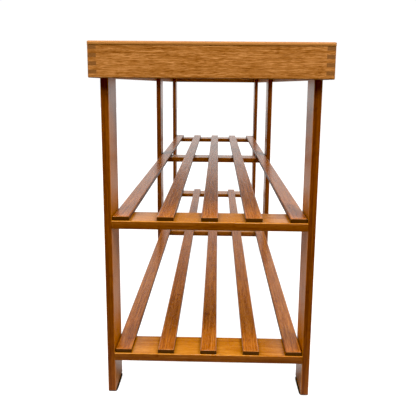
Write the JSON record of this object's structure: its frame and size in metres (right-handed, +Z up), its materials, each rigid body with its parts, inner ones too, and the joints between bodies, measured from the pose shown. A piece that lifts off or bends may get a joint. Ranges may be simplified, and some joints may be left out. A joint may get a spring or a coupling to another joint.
{
  "type": "entryway bench",
  "caption": "Long narrow bench for an entryway, with a box-jointed seat frame on flat board legs and two open slatted shoe shelves underneath.",
  "frame": {"origin": "on the floor, at the middle of the bench's length and depth, so at the bottom centre of its bounding box", "axes": "+X along the bench towards the end nearest the viewer (the middle legs stand off centre, towards -X), +Y across it to that viewer's right, +Z up"},
  "size_m": [1, 0.292, 0.464],
  "materials": {
    "seat_bamboo": "satin clear lacquer over stained laminated bamboo",
    "frame_bamboo": "satin clear lacquer over stained laminated bamboo",
    "batten_bamboo": "satin clear lacquer over stained laminated bamboo",
    "leg_bamboo": "satin clear lacquer over stained laminated bamboo",
    "rail_bamboo": "satin clear lacquer over stained laminated bamboo",
    "slat_bamboo": "satin clear lacquer over stained laminated bamboo",
    "pad_rubber": "matt black rubber",
    "screw_steel": "zinc plated",
    "dowel_wood": "bare beech"
  },
  "bodies": {
    "root": {"seat_panel": "seat_bamboo", "near_end_board": "frame_bamboo", "far_end_board": "frame_bamboo", "left_side_rail": "frame_bamboo", "right_side_rail": "frame_bamboo", "near_batten": "batten_bamboo", "far_batten": "batten_bamboo", "near_top_rail": "batten_bamboo", "middle_top_rail": "batten_bamboo", "far_top_rail": "batten_bamboo", "near_left_leg": "leg_bamboo", "near_right_leg": "leg_bamboo", "middle_left_leg": "leg_bamboo", "middle_right_leg": "leg_bamboo", "far_left_leg": "leg_bamboo", "far_right_leg": "leg_bamboo", "near_lower_rail": "rail_bamboo", "near_upper_rail": "rail_bamboo", "middle_lower_rail": "rail_bamboo", "middle_upper_rail": "rail_bamboo", "far_lower_rail": "rail_bamboo", "far_upper_rail": "rail_bamboo", "lower_slat_1": "slat_bamboo", "lower_slat_2": "slat_bamboo", "lower_slat_3": "slat_bamboo", "lower_slat_4": "slat_bamboo", "lower_slat_5": "slat_bamboo", "upper_slat_1": "slat_bamboo", "upper_slat_2": "slat_bamboo", "upper_slat_3": "slat_bamboo", "upper_slat_4": "slat_bamboo", "upper_slat_5": "slat_bamboo", "near_left_foot_pad": "pad_rubber", "near_right_foot_pad": "pad_rubber", "middle_left_foot_pad": "pad_rubber", "middle_right_foot_pad": "pad_rubber", "far_left_foot_pad": "pad_rubber", "far_right_foot_pad": "pad_rubber", "leg_screws": "screw_steel", "rail_screws": "screw_steel", "panel_screws": "screw_steel", "lower_slat_screws": "screw_steel", "upper_slat_screws": "screw_steel", "rail_dowels": "dowel_wood", "batten_dowels": "dowel_wood"}
  },
  "joints": []
}
